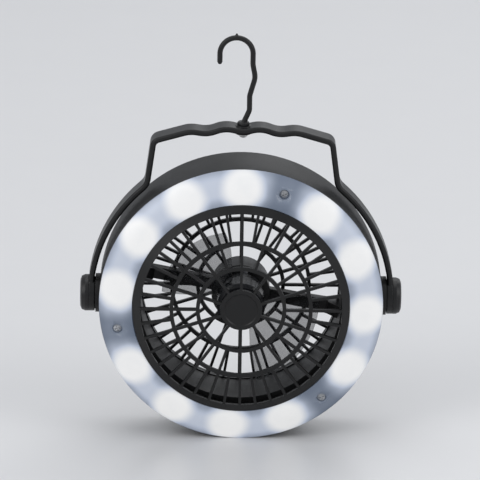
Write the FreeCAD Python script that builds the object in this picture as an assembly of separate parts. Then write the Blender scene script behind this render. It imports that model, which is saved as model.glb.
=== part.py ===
import FreeCAD, Part
import math
import os

# Portable camping fan: a flat drum with a ring of light round its front,
# a caged two-blade fan in the middle, a swinging handle and a swivelling hook.
# Millimetres. While it is modelled, the drum's axis is Y, Y = 0 is the plane
# where the lens meets the drum, the front faces -Y and Z is up.
# stand_up() then sets it on its feet, with the origin under its middle.

os.makedirs("parts", exist_ok=True)
vec = FreeCAD.Vector

# Drum
drum_radius = 75.0
drum_depth = 33.0
drum_wall = 2.0
duct_radius = 53.0
duct_wall = 1.6
bulkhead_front = 2.6
bulkhead_thickness = 2.0
cover_thickness = 2.4
cover_edge_round = 2.0
cover_lip_depth = 2.4
cover_lip_wall = 1.4

# Feet, moulded under the drum
foot_spread = 20.0
foot_width = 8.0
foot_front = 17.0

# Lens
lens_bore_radius = 57.6
lens_rise = 6.5
lens_bulge = 1.1
lens_wall = 1.6
lens_lip_width = 1.9
lens_skirt_depth = 2.3
lens_skirt_gap = 0.2
lens_flats = 3
lens_pillar_radius = 3.8

# Screw columns shared by the lens and the rear cover
column_radius_on_drum = 66.2
column_radius = 3.2
column_angles = [70.9, 190.9, 310.9]
screw_radius = 1.1
screw_head_radius = 2.3
screw_head_height = 1.4
screw_depth = 9.0
screw_end_gap = 0.5
lens_screw_recess = 2.2
lens_recess_radius = 2.7

# Light
led_count = 12
led_size = 5.0
led_height = 1.6
led_board_thickness = 1.2
led_sheet_thickness = 0.5
led_spacing = 27.2
led_radius = 66.2

# Grilles, the same pattern front and rear
grille_hub_radius = 11.0
grille_rings = [22.8, 36.7]
grille_ring_width = 2.0
grille_spokes = [10, 20, 40]
grille_arcs_up_to = 20
grille_spoke_width = 1.4
grille_thickness = 2.0
grille_dome = 2.0
front_opening_radius = 53.2
front_grille_wall = 1.6
hub_dish_radius = 9.0
hub_dish_depth = 0.6
rear_opening_radius = 52.4
rear_border_width = 3.0

# Motor and its bracket
motor_radius = 12.0
motor_length = 12.0
motor_end_wall = 1.5
motor_cup_wall = 3.6
motor_cup_floor = 1.6
bracket_angle = 169.0
bracket_arm_width = 6.5
bracket_arm_depth = 5.0
bracket_foot_length = 6.0
bracket_head_sink = 1.2
corbel_lip = 2.0
clamp_thickness = 1.2
small_screw_radius = 0.85
small_head_radius = 1.6
small_head_height = 0.9
small_screw_bite = 2.5
clamp_screw_land = 1.0
clamp_screw_depth = 5.0
clamp_slot_start = 5.0
clamp_slot_length = 4.0
clamp_slot_width = 4.0
motor_nose_radius = 3.0
shaft_radius = 1.0

# Rotor
rotor_hub_radius = 12.7
rotor_hub_wall = 1.6
rotor_hub_bevel = 1.5
rotor_inner_bevel = 1.0
rotor_boss_radius = 2.6
rotor_boss_sink = 1.0
rotor_gap = 1.5
rotor_front_gap = 3.15
blade_middle_gap = 13.15
blade_tip_radius = 42.0
blade_thickness = 1.4
blade_angle = 140.0
blade_count = 2
blade_camber = 2.4
blade_root_pitch = 32.0
blade_tip_pitch = 17.0
blade_root_chord = 16.0
blade_swell = 40.0
blade_swell_turn = 0.6
blade_sections = 4

# Batteries, three small cells lying round the duct
cell_radius = 5.25
cell_length = 44.5
cell_nub_radius = 1.9
cell_nub_length = 0.8
cell_angles = [10.9, 130.9, 250.9]
contact_thickness = 0.5
contact_size = 9.0
contact_bump = 2.0
contact_bump_radius = 3.0
contact_bump_tip = 1.6
bay_wall = 1.6
bay_clearance = 0.35

# Battery doors
door_thickness = 2.0
door_gap = 0.3
door_pin_radius = 0.5
door_pin_length = 1.0
door_notch_radius = 3.0
door_notch_depth = 0.8
door_rib_height = 0.4
door_rib_pitch = 1.8
door_rib_count = 3
door_rib_margin = 2.0
door_end_lap = 1.0
door_cover_web = 1.2

# Slide switches
light_switch_angle = 57.0
fan_switch_angle = 84.8
switch_radius_on_drum = 64.4
knob_length = 8.0
knob_width = 6.4
knob_height = 2.0
knob_travel = 5.0
stem_width = 2.8
stem_length = 3.6
knob_rise = 0.3
knob_bevel = 0.5
knob_rib_height = 0.4
knob_rib_pitch = 1.8
knob_rib_margin = 1.2
track_depth = 1.0
track_side_gap = 0.4
track_end_gap = 0.5
stem_flange = 1.1
switch_can_length = 9.0
switch_can_width = 4.4
switch_can_height = 4.0
switch_can_gap = 2.2
board_thickness = 1.6
board_half_angle = 23.0
board_edge_gap = 1.5
board_post_radius = 2.2
board_post_inset = 5.0

# Handle
pivot_ahead_of_cover = 12.6
pivot_boss_radius = 10.3
pivot_boss_height = 2.1
pivot_boss_root = 4.0
pivot_pad_height = 1.5
eye_radius = 9.7
handle_thickness = 3.0
handle_width = 12.5
handle_edge_bevel = 0.8
grip_above_drum = 17.4
grip_sag = 0.0029
grip_wave = 1.3
grip_wave_pitch = 18.6
grip_wave_round = 15.0
grip_trough_share = 0.6
grip_corner_x = 46.9
grip_corner_drop = 6.4
grip_boss_radius = 4.2
grip_boss_rise = 0.7
grip_boss_drop = 0.8
arm_arc_gap = 3.1
arm_arc_start = 12.0
arm_arc_end = 47.0
arm_foot_round = 30.0
arm_kink_length = 5.6
arm_kink_round = 8.0
arm_corner_round = 4.0
pivot_shaft_radius = 4.0
cap_height = 4.5
cap_round = 2.6
washer_thickness = 0.45
washer_radius = 8.6
pivot_screw_radius = 1.5
pivot_screw_head = 2.8
pivot_screw_head_height = 1.4

# Hook
hook_rod_radius = 1.4
hook_curl_radius = 8.65
hook_curl_x = -4.1
hook_curl_height = 38.7
hook_tip_drop = 4.4
hook_bulge_x = 5.9
hook_bulge_height = 26.0
hook_collar_radius = 3.2
hook_collar_height = 2.0
hook_collar_bevel = 0.6
hook_pin_radius = 1.2
hook_pin_head_radius = 2.4
hook_pin_head_height = 1.3
hook_pin_head_bevel = 0.8
hook_pin_reach = 1.4
hook_washer_thickness = 0.5
hook_washer_radius = 3.0
hook_nib_radius = 1.1
hook_nib_tip = 0.35
hook_nib_height = 0.9
hook_nib_root = 0.5
hook_tip_length = 1.1
hook_tip_radius = 0.8

# Clearances
running_fit = 0.05
flat_gap = 0.05
side_gap = 0.3
head_gap = 0.2

# How far a cutting tool runs past its face, and a buried end into its wall
overrun = 1.0

# Worked out from the sizes above
bulkhead_rear = bulkhead_front + bulkhead_thickness
cover_front = drum_depth - cover_thickness
pivot_depth = cover_front - pivot_ahead_of_cover
drum_bore = drum_radius - drum_wall
duct_outer = duct_radius + duct_wall
axis_height = drum_radius
front_face = -lens_rise - grille_dome
rear_grille_back = drum_depth + grille_dome
shift_back = -(front_face + rear_grille_back) / 2
rear_border_radius = rear_opening_radius + rear_border_width
cover_bore = rear_border_radius + side_gap

cell_ring_radius = cover_bore + door_cover_web + door_gap + cell_radius
cell_depth = cover_front - cell_radius - bay_clearance
bay_half_length = (cell_length + cell_nub_length + contact_bump + 2 * bay_clearance) / 2
bay_end = bay_half_length + contact_thickness
door_half_length = bay_end - door_end_lap
door_half_width = cell_radius + door_gap / 2
door_axis_y = drum_depth - door_thickness / 2
door_axis_z = -door_half_length + door_thickness / 2

board_back = cover_front - switch_can_gap - switch_can_height
board_front = board_back - board_thickness
track_floor = drum_depth - track_depth

boss_face = drum_radius + pivot_boss_height
eye_inner = boss_face + washer_thickness + flat_gap
eye_outer = eye_inner + handle_thickness
eye_middle = eye_inner + handle_thickness / 2
arm_radius = drum_radius + arm_arc_gap + handle_thickness / 2
cap_inner = eye_outer + flat_gap
grip_height = drum_radius + grip_above_drum
grip_middle = grip_height - grip_wave * grip_trough_share
grip_top = grip_middle + handle_thickness / 2 + grip_boss_rise
grip_bottom = grip_middle - handle_thickness / 2 - grip_boss_drop

cup_back = drum_depth + grille_dome - grille_thickness - flat_gap
motor_back = cup_back - motor_cup_floor
motor_front = motor_back - motor_length
cup_radius = motor_radius + motor_cup_wall
clamp_screw_x = motor_radius + clamp_screw_land + small_screw_radius
rotor_back = motor_front - clamp_thickness - rotor_gap
guard_inner_face = front_face + grille_thickness
rotor_front = guard_inner_face + rotor_front_gap
blade_middle = guard_inner_face + blade_middle_gap


def stand_up(shape):
    """Moves a piece from the drum's own frame to the standing frame."""
    moved = shape.copy()
    moved.translate(vec(0, shift_back, axis_height))
    return moved


def save(name, shape):
    """Writes one sub-part, a single solid or a group of identical ones."""
    standing = stand_up(shape)
    standing.exportStep("parts/" + name + ".step")
    box = standing.optimalBoundingBox(False)
    print(name, "solids", len(standing.Solids), "volume %.1f" % standing.Volume,
          "x %.2f %.2f" % (box.XMin, box.XMax), "y %.2f %.2f" % (box.YMin, box.YMax),
          "z %.2f %.2f" % (box.ZMin, box.ZMax), "valid", standing.isValid())


def turn(shape, angle):
    """Turns a piece about the drum's axis, counter-clockwise seen from the front."""
    turned = shape.copy()
    turned.rotate(vec(0, 0, 0), vec(0, -1, 0), angle)
    return turned


def mirror_x(shape):
    return shape.mirror(vec(0, 0, 0), vec(1, 0, 0))


def ring_spin(outline):
    """Spins an outline of (radius, depth) corners about the drum's axis."""
    points = [vec(radius, depth, 0) for radius, depth in outline]
    face = Part.Face(Part.makePolygon(points + points[:1]))
    return face.revolve(vec(0, 0, 0), vec(0, 1, 0), 360)


def ring_tube(inner, outer, front, back):
    return ring_spin([(inner, front), (outer, front), (outer, back), (inner, back)])


def bow(start, end, rise, runs):
    """Corners between two points along a shallow bow, given as (radius, depth)."""
    along = vec(end[0] - start[0], end[1] - start[1], 0)
    outward = vec(-along.y, along.x, 0).normalize()
    corners = []
    for step in range(1, runs):
        part = step / runs
        place = vec(*start, 0) + along * part + outward * (rise * 4 * part * (1 - part))
        corners.append((place.x, place.y))
    return corners


def eased_edge(centre, radius, first, last, runs=2):
    """Corners of a moulded edge that is eased in a few flats, given as (radius, depth)."""
    corners = []
    for step in range(runs + 1):
        angle = math.radians(first + (last - first) * step / runs)
        corners.append((centre[0] + radius * math.cos(angle), centre[1] + radius * math.sin(angle)))
    return corners


def rod_y(radius, front, back, x=0.0, z=0.0):
    return Part.makeCylinder(radius, back - front, vec(x, front, z), vec(0, 1, 0))


def rod_x(radius, start, end, y=0.0, z=0.0):
    return Part.makeCylinder(radius, end - start, vec(start, y, z), vec(1, 0, 0))


def block(x_low, x_high, y_low, y_high, z_low, z_high):
    corner = vec(x_low, y_low, z_low)
    return Part.makeBox(x_high - x_low, y_high - y_low, z_high - z_low, corner)


def fuse_all(shapes):
    """Joins pieces of one moulding into one solid."""
    return shapes[0].multiFuse(shapes[1:]).removeSplitter()


def around(shape, angles):
    return [turn(shape, angle) for angle in angles]


# Drum housing

def foot():
    """One moulded foot behind the lens: a short rib along the drum, flat underneath."""
    half = foot_width / 2
    inner = foot_spread - half
    top = -math.sqrt(drum_bore ** 2 - inner ** 2)
    rib = block(inner, foot_spread + half, foot_front, cover_front, -axis_height, top)
    return rib.cut(rod_y(drum_radius - drum_wall / 2, 0, drum_depth))


def battery_bay():
    """Cradle ribs and end walls that carry one cell, drawn at angle zero."""
    inner = duct_outer - duct_wall / 2
    outer = cell_ring_radius + cell_radius
    seat = rod_cell(cell_radius + bay_clearance, -bay_end, bay_end)
    pieces = []
    for place in (-cell_length / 4, cell_length / 4):
        low, high = place - bay_wall / 2, place + bay_wall / 2
        rib = block(inner, outer, bulkhead_front + overrun, cell_depth, low, high)
        pieces.append(rib.cut(seat))
    for side in (-1, 1):
        near = side * bay_end
        far = side * (bay_end + bay_wall)
        low, high = min(near, far), max(near, far)
        end = cover_front - cover_lip_depth - head_gap
        pieces.append(block(inner, outer, bulkhead_front + overrun, end, low, high))
    return pieces


def rod_cell(radius, low, high):
    """A round bar where a cell lies, drawn at angle zero."""
    return Part.makeCylinder(radius, high - low, vec(cell_ring_radius, cell_depth, low), vec(0, 0, 1))


def pivot_boss():
    """The round boss that carries the handle on the right side."""
    boss = rod_x(pivot_boss_radius, drum_bore - pivot_boss_root, boss_face, pivot_depth)
    boss = boss.cut(rod_y(drum_bore + drum_wall / 2, 0, 2 * drum_depth))
    pad = rod_x(pivot_shaft_radius, drum_bore - pivot_pad_height, drum_bore + drum_wall / 2, pivot_depth)
    return [boss, pad]


def board_posts():
    """Two posts on which the control board lies."""
    reach = board_half_angle - board_post_inset
    post = rod_y(board_post_radius, bulkhead_front + overrun, board_front, switch_radius_on_drum)
    middle = column_angles[0]
    return around(post, [middle - reach, middle + reach])


def drum_housing():
    shell = ring_spin([
        (drum_radius, 0), (drum_radius, cover_front), (drum_bore, cover_front),
        (drum_bore, bulkhead_rear), (duct_outer, bulkhead_rear), (duct_outer, cover_front),
        (duct_radius, cover_front), (duct_radius, bulkhead_front), (drum_bore, bulkhead_front),
        (drum_bore, 0)])
    pieces = [shell]
    column = rod_y(column_radius, bulkhead_front + overrun, cover_front, column_radius_on_drum)
    pieces += around(column, column_angles)
    for angle in cell_angles:
        pieces += around_all(battery_bay(), angle)
    for piece in pivot_boss():
        pieces += [piece, mirror_x(piece)]
    right_foot = foot()
    pieces += [right_foot, mirror_x(right_foot)]
    pieces += board_posts()
    pieces += around_all(bracket_seat(), bracket_angle) + around_all(bracket_seat(), bracket_angle + 180)
    body = fuse_all(pieces)
    holes = []
    bite = screw_radius + running_fit
    front_hole = rod_y(bite, bulkhead_front - overrun, screw_depth, column_radius_on_drum)
    rear_hole = rod_y(bite, cover_front - screw_depth, cover_front + overrun, column_radius_on_drum)
    holes += around(front_hole, column_angles) + around(rear_hole, column_angles)
    bore_radius = pivot_screw_radius + running_fit
    bore = rod_x(bore_radius, drum_bore - pivot_boss_root, boss_face + overrun, pivot_depth)
    holes += [bore, mirror_x(bore)]
    seat_hole = bracket_screw_hole()
    holes += [turn(seat_hole, bracket_angle), turn(seat_hole, bracket_angle + 180)]
    return body.cut(Part.makeCompound(holes))


def around_all(shapes, angle):
    return [turn(shape, angle) for shape in shapes]


# Rear cover

def door_window():
    """The opening of one battery door, drawn at angle zero."""
    half = door_half_length + door_gap
    inner = cell_ring_radius - door_half_width - door_gap
    outer = cell_ring_radius + door_half_width + door_gap
    front = cover_front - cover_lip_depth - overrun
    window = block(inner, outer, front, drum_depth + overrun, -half, half)
    depth = door_pin_length + side_gap
    sockets = rod_x(door_pin_radius + running_fit, inner - depth, outer + depth, door_axis_y, door_axis_z)
    return [window, sockets, door_notch()]


def door_notch():
    """The sunk half-rounds of the door and the cover that a fingernail goes into, at angle zero."""
    back = drum_depth + overrun
    return rod_y(door_notch_radius, drum_depth - door_notch_depth, back, cell_ring_radius, door_half_length)


def switch_window():
    """The sunk track and the slot of one slide switch, drawn at angle zero."""
    track_x = knob_width / 2 + track_side_gap
    track_z = knob_length / 2 + knob_travel / 2 + track_end_gap
    slot_x = stem_width / 2 + side_gap
    slot_z = stem_length / 2 + knob_travel / 2 + track_end_gap
    centre = switch_radius_on_drum
    track = block(centre - track_x, centre + track_x, track_floor, drum_depth + overrun, -track_z, track_z)
    slot = block(centre - slot_x, centre + slot_x, cover_front - overrun, drum_depth, -slot_z, slot_z)
    return [track, slot]


def rear_cover():
    lip_outer = drum_bore - side_gap
    lip_inner = lip_outer - cover_lip_wall
    lip_front = cover_front - cover_lip_depth
    rim_centre = (drum_radius - cover_edge_round, drum_depth - cover_edge_round)
    rim = eased_edge(rim_centre, cover_edge_round, 0, 90)
    plate = ring_spin([
        (cover_bore, cover_front), (lip_inner, cover_front), (lip_inner, lip_front), (lip_outer, lip_front),
        (lip_outer, cover_front), (drum_radius, cover_front)] + rim + [(cover_bore, drum_depth)])
    cuts = []
    for angle in cell_angles:
        cuts += around_all(door_window(), angle)
    for angle in (light_switch_angle, fan_switch_angle):
        cuts += around_all(switch_window(), angle)
    seat = drum_depth - screw_head_height
    head = rod_y(screw_head_radius + head_gap, seat, drum_depth + overrun, column_radius_on_drum)
    hole = rod_y(screw_radius + head_gap, cover_front - overrun, drum_depth, column_radius_on_drum)
    cuts += around(head, column_angles) + around(hole, column_angles)
    return plate.cut(Part.makeCompound(cuts))


def battery_door():
    """One battery door with its hinge pins and grip ribs, at angle zero."""
    inner = cell_ring_radius - door_half_width
    outer = cell_ring_radius + door_half_width
    plate = block(inner, outer, drum_depth - door_thickness, drum_depth, door_axis_z, door_half_length)
    barrel = rod_x(door_thickness / 2, inner, outer, door_axis_y, door_axis_z)
    pins = rod_x(door_pin_radius, inner - door_pin_length, outer + door_pin_length, door_axis_y, door_axis_z)
    pieces = [plate, barrel, pins]
    half = door_half_width - door_rib_margin
    for step in range(door_rib_count):
        z = door_half_length - door_notch_radius - door_rib_margin - door_rib_pitch * step
        pieces.append(rod_x(door_rib_height, cell_ring_radius - half, cell_ring_radius + half, drum_depth, z))
    return fuse_all(pieces).cut(door_notch())


# Lens and light

def lens_ring():
    """The milky ring: a shallow bowed channel with a lip at its bore."""
    crest = lens_bore_radius + lens_lip_width
    skirt_outer = drum_bore - lens_skirt_gap
    skirt_inner = skirt_outer - lens_wall
    inner_bore = lens_bore_radius + lens_wall
    bowed = bow((crest, -lens_rise), (drum_radius, 0), -lens_bulge, lens_flats)
    channel = ring_spin([(lens_bore_radius, -lens_rise), (crest, -lens_rise)] + bowed + [
        (drum_radius, 0), (skirt_outer, 0), (skirt_outer, lens_skirt_depth), (skirt_inner, lens_skirt_depth),
        (skirt_inner, -lens_bulge), (inner_bore, lens_wall - lens_rise),
        (inner_bore, lens_skirt_depth), (lens_bore_radius, lens_skirt_depth)])
    surface = lens_wall / 2 - lens_rise / 2 - lens_bulge
    pillar = rod_y(lens_pillar_radius, surface, bulkhead_front, column_radius_on_drum)
    ring = fuse_all([channel] + around(pillar, column_angles))
    seat = lens_screw_seat()
    recess = rod_y(lens_recess_radius, -lens_rise - overrun, seat, column_radius_on_drum)
    hole = rod_y(screw_radius + head_gap, seat - overrun, bulkhead_front + overrun, column_radius_on_drum)
    return ring.cut(Part.makeCompound(around(recess, column_angles) + around(hole, column_angles)))


def lens_screw_seat():
    return -lens_rise / 2 - lens_bulge + lens_screw_recess


def machine_screw(seat, tip, away):
    """A pan-head screw along Y; away is -1 for a head at the front and 1 for one at the back."""
    top = seat + away * screw_head_height
    head = rod_y(screw_head_radius, min(seat, top), max(seat, top), column_radius_on_drum)
    shank = rod_y(screw_radius, min(seat, tip), max(seat, tip), column_radius_on_drum)
    return fuse_all([head, shank])


def lens_screws():
    screw = machine_screw(lens_screw_seat(), screw_depth - screw_end_gap, -1)
    return Part.makeCompound(around(screw, column_angles))


def cover_screws():
    seat = drum_depth - screw_head_height
    screw = machine_screw(seat, cover_front - screw_depth + screw_end_gap, 1)
    return Part.makeCompound(around(screw, column_angles))


def led_angles():
    steps = led_count // len(cell_angles)
    first = -(steps - 1) / 2
    return [middle + led_spacing * (first + step) for middle in cell_angles for step in range(steps)]


def light_ring(front, back):
    """A flat ring under the lens with holes for the screw pillars."""
    inner = lens_bore_radius + lens_wall + side_gap
    outer = drum_bore - lens_skirt_gap - lens_wall - side_gap
    ring = ring_tube(inner, outer, front, back)
    hole = rod_y(lens_pillar_radius + side_gap, front - overrun, back + overrun, column_radius_on_drum)
    return ring.cut(Part.makeCompound(around(hole, column_angles)))


def led_board():
    return light_ring(bulkhead_front - led_board_thickness, bulkhead_front)


def led_box(grow, front, back):
    half = led_size / 2 + grow
    return block(led_radius - half, led_radius + half, front, back, -half, half)


def reflector_sheet():
    back = bulkhead_front - led_board_thickness
    front = back - led_sheet_thickness
    windows = around(led_box(side_gap, front - overrun, back + overrun), led_angles())
    return light_ring(front, back).cut(Part.makeCompound(windows))


def leds():
    back = bulkhead_front - led_board_thickness
    return Part.makeCompound(around(led_box(0, back - led_height, back), led_angles()))


# Grilles

def grille_window(inner, outer, count, angle):
    """The outline of one gap between two spokes and two rings."""
    half = grille_spoke_width / 2
    first = math.radians(angle)
    second = first + 2 * math.pi / count
    middle = (first + second) / 2

    def corner(radius, spoke, side):
        along = math.sqrt(radius * radius - half * half)
        x = along * math.cos(spoke) - side * half * math.sin(spoke)
        z = along * math.sin(spoke) + side * half * math.cos(spoke)
        return vec(x, 0, z)

    def top(radius):
        return vec(radius * math.cos(middle), 0, radius * math.sin(middle))

    a, b = corner(inner, first, 1), corner(outer, first, 1)
    c, d = corner(outer, second, -1), corner(inner, second, -1)
    if count > grille_arcs_up_to:
        return Part.Face(Part.makePolygon([a, b, c, d, a]))
    edges = [Part.makeLine(a, b), Part.Arc(b, top(outer), c).toShape(), Part.makeLine(c, d),
             Part.Arc(d, top(inner), a).toShape()]
    return Part.Face(Part.Wire(edges))


def grille_gaps(hub, opening, front, back):
    """All the gaps of a grille as cutting prisms; each zone outwards has twice the spokes."""
    half = grille_ring_width / 2
    edges_in = [hub] + [ring + half for ring in grille_rings]
    edges_out = [ring - half for ring in grille_rings] + [opening]
    prisms = []
    for inner, outer, count in zip(edges_in, edges_out, grille_spokes):
        pitch = 360.0 / count
        for step in range(count):
            face = grille_window(inner, outer, count, 90.0 + step * pitch)
            face.translate(vec(0, front, 0))
            prisms.append(face.extrude(vec(0, back - front, 0)))
    return Part.makeCompound(prisms)


def front_grille():
    """A raised guard with a sloped border whose skirt is the front of the air duct."""
    border = lens_bore_radius - side_gap
    rim_front = -lens_rise
    crown = rim_front - grille_dome
    skirt = border - front_grille_wall
    guard = ring_spin([
        (0, crown), (front_opening_radius, crown), (border, rim_front), (border, bulkhead_front),
        (skirt, bulkhead_front), (skirt, rim_front + grille_thickness),
        (front_opening_radius, crown + grille_thickness), (0, crown + grille_thickness)])
    rear = crown + grille_thickness + overrun
    gaps = grille_gaps(grille_hub_radius, front_opening_radius, crown - overrun, rear)
    floor = crown + hub_dish_depth
    dish = ring_spin([(0, crown - overrun), (hub_dish_radius, crown - overrun), (hub_dish_radius, crown),
                      (hub_dish_radius - hub_dish_depth, floor), (0, floor)])
    return guard.cut(gaps).cut(dish)


def rear_grille():
    """The matching guard at the back, seated on the end of the duct."""
    rim = drum_depth
    crown = rim + grille_dome
    guard = ring_spin([
        (0, crown), (rear_opening_radius, crown), (rear_border_radius, rim),
        (rear_border_radius, cover_front), (rear_opening_radius, cover_front),
        (rear_opening_radius, crown - grille_thickness), (0, crown - grille_thickness)])
    front = crown - grille_thickness - overrun
    gaps = grille_gaps(cup_radius, rear_opening_radius, front, crown + overrun)
    return guard.cut(gaps)


# Motor, bracket and rotor

def bracket_reach():
    return duct_radius - side_gap


def bracket_arm_back():
    return cover_front - flat_gap


def bracket_seat():
    """A corbel in the duct that one arm of the bracket is screwed to."""
    half = bracket_arm_width / 2
    shelf = bracket_arm_back() - bracket_arm_depth
    inner = duct_radius - bracket_foot_length
    wall = duct_radius + duct_wall / 2
    outline = [vec(wall, shelf, -half), vec(inner, shelf, -half), vec(inner, shelf - corbel_lip, -half),
               vec(wall, shelf - corbel_lip - bracket_foot_length, -half)]
    face = Part.Face(Part.makePolygon(outline + outline[:1]))
    return [face.extrude(vec(0, 0, bracket_arm_width))]


def bracket_screw_hole():
    shelf_back = bracket_arm_back() - bracket_arm_depth
    place = duct_radius - bracket_foot_length / 2
    depth = small_screw_bite + screw_end_gap
    return rod_y(small_screw_radius + running_fit, shelf_back - depth, shelf_back + overrun, place)


def motor_bracket():
    """A cup for the motor on two straight arms across the duct."""
    cup = ring_tube(0, cup_radius, motor_front, cup_back)
    half = bracket_arm_width / 2
    back = bracket_arm_back()
    end = math.sqrt(bracket_reach() ** 2 - half ** 2)
    arm = block(cup_radius - 2 * overrun, end, back - bracket_arm_depth, back, -half, half)
    arms = [turn(arm, bracket_angle), turn(arm, bracket_angle + 180)]
    body = fuse_all([cup] + arms)
    body = body.cut(rod_y(motor_radius + running_fit, motor_front - overrun, motor_back))
    place = duct_radius - bracket_foot_length / 2
    shank = rod_y(small_screw_radius + head_gap, back - bracket_arm_depth - overrun, back + overrun, place)
    head = rod_y(small_head_radius + side_gap, back - bracket_head_sink, back + overrun, place)
    foot_hole = fuse_all([shank, head])
    clamp_end = motor_front + clamp_screw_depth + screw_end_gap
    bore = small_screw_radius + running_fit
    clamp_hole = rod_y(bore, motor_front - overrun, clamp_end, clamp_screw_x)
    holes = []
    for angle in (bracket_angle, bracket_angle + 180):
        holes.append(turn(foot_hole, angle))
        holes.append(turn(clamp_hole, angle + 90))
    return body.cut(Part.makeCompound(holes))


def motor_can():
    can = rod_y(motor_radius, motor_front, motor_back)
    nose = rod_y(motor_nose_radius, motor_front - clamp_thickness, motor_front)
    front = motor_front - clamp_thickness - overrun
    bore = rod_y(shaft_radius + running_fit, front, motor_back - motor_end_wall)
    return fuse_all([can, nose]).cut(bore)


def motor_clamp():
    """The disc that keeps the motor in its cup."""
    front = motor_front - clamp_thickness
    disc = ring_tube(motor_nose_radius + head_gap, cup_radius - side_gap, front, motor_front)
    low, high = front - overrun, motor_front + overrun
    hole = rod_y(small_screw_radius + head_gap, low, high, clamp_screw_x)
    half = clamp_slot_width / 2
    slot = block(clamp_slot_start, clamp_slot_start + clamp_slot_length, low, high, -half, half)
    angles = [bracket_angle, bracket_angle + 180]
    return disc.cut(Part.makeCompound(around(hole, [angle + 90 for angle in angles]) + around(slot, angles)))


def small_screw(seat, tip, place):
    """A small pan-head screw along Y, its head in front."""
    head = rod_y(small_head_radius, seat - small_head_height, seat, place)
    shank = rod_y(small_screw_radius, seat, tip, place)
    return fuse_all([head, shank])


def motor_screws():
    tip = motor_front + clamp_screw_depth
    screw = small_screw(motor_front - clamp_thickness, tip, clamp_screw_x)
    return Part.makeCompound([turn(screw, bracket_angle + 90), turn(screw, bracket_angle + 270)])


def bracket_screws():
    """The two screws through the ends of the bracket's arms, heads at the back."""
    place = duct_radius - bracket_foot_length / 2
    back = bracket_arm_back()
    seat = back - bracket_head_sink
    head = rod_y(small_head_radius, seat, seat + small_head_height, place)
    shank = rod_y(small_screw_radius, back - bracket_arm_depth - small_screw_bite, seat, place)
    screw = fuse_all([head, shank])
    return Part.makeCompound([turn(screw, bracket_angle), turn(screw, bracket_angle + 180)])


def motor_shaft():
    end = motor_back - motor_end_wall - head_gap
    return rod_y(shaft_radius, rotor_front + rotor_hub_wall + head_gap, end)


def blade_section(radius, chord, pitch):
    """One slice of a blade square to its length: a thin cambered strip."""
    tilt = math.radians(pitch)

    def place(along, above):
        y = blade_middle + along * math.sin(tilt) - above * math.cos(tilt)
        z = along * math.cos(tilt) + above * math.sin(tilt)
        return vec(radius, y, z)

    half = chord / 2
    skin = blade_thickness / 2
    low = [place(-half, -skin), place(0, blade_camber - skin), place(half, -skin)]
    high = [place(half, skin), place(0, blade_camber + skin), place(-half, skin)]
    edges = [Part.Arc(*low).toShape(), Part.makeLine(low[2], high[0]),
             Part.Arc(*high).toShape(), Part.makeLine(high[2], low[0])]
    return Part.Wire(edges)


def blade():
    """A broad, pitched and twisted blade that swells outwards and rounds off at its tip."""
    root = rotor_hub_radius - rotor_hub_wall / 2
    span = blade_tip_radius - root
    sections = []
    for step in range(blade_sections + 1):
        part = step / blade_sections
        chord = blade_root_chord + blade_swell * math.sin(math.pi * blade_swell_turn * part)
        pitch = blade_root_pitch + (blade_tip_pitch - blade_root_pitch) * part
        sections.append(blade_section(root + span * part, chord, pitch))
    loft = Part.makeLoft(sections, True, False)
    return loft.common(rod_y(blade_tip_radius, rotor_front - blade_tip_radius, rotor_back + blade_tip_radius))


def fan_rotor():
    skirt = rotor_hub_radius - rotor_hub_wall
    inner_front = rotor_front + rotor_hub_wall
    boss = rotor_boss_radius
    boss_end = rotor_back - rotor_boss_sink
    hub = ring_spin([
        (0, rotor_front), (rotor_hub_radius - rotor_hub_bevel, rotor_front),
        (rotor_hub_radius, rotor_front + rotor_hub_bevel), (rotor_hub_radius, rotor_back),
        (skirt, rotor_back), (skirt, inner_front + rotor_inner_bevel),
        (skirt - rotor_inner_bevel, inner_front), (boss, inner_front), (boss, boss_end), (0, boss_end)])
    hollow = ring_tube(boss, skirt - rotor_inner_bevel, inner_front, rotor_back + overrun)
    one = blade().cut(hollow)
    blades = [turn(one, blade_angle + 360.0 / blade_count * step) for step in range(blade_count)]
    bore = rod_y(shaft_radius + running_fit / 2, inner_front, rotor_back)
    return fuse_all([hub] + blades).cut(bore)


# Batteries, switches and board

def battery():
    """One cell at angle zero, its nub towards +Z."""
    start = -bay_half_length + contact_bump + bay_clearance
    end = start + cell_length
    nub = rod_cell(cell_nub_radius, end, end + cell_nub_length)
    can = rod_cell(cell_radius, start, end)
    return fuse_all([can, nub])


def contact(side, bumped):
    """One contact plate, with the sprung dome on the flat end of the cell."""
    near = side * bay_half_length
    far = side * bay_end
    half = contact_size / 2
    plate = block(cell_ring_radius - half, cell_ring_radius + half, cell_depth - half, cell_depth + half,
                  min(near, far), max(near, far))
    if not bumped:
        return plate
    foot = vec(cell_ring_radius, cell_depth, near)
    dome = Part.makeCone(contact_bump_radius, contact_bump_tip, contact_bump, foot, vec(0, 0, -side))
    return fuse_all([plate, dome])


def battery_contacts():
    pieces = []
    for angle in cell_angles:
        pieces += [turn(contact(-1, True), angle), turn(contact(1, False), angle)]
    return Part.makeCompound(pieces)


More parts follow.
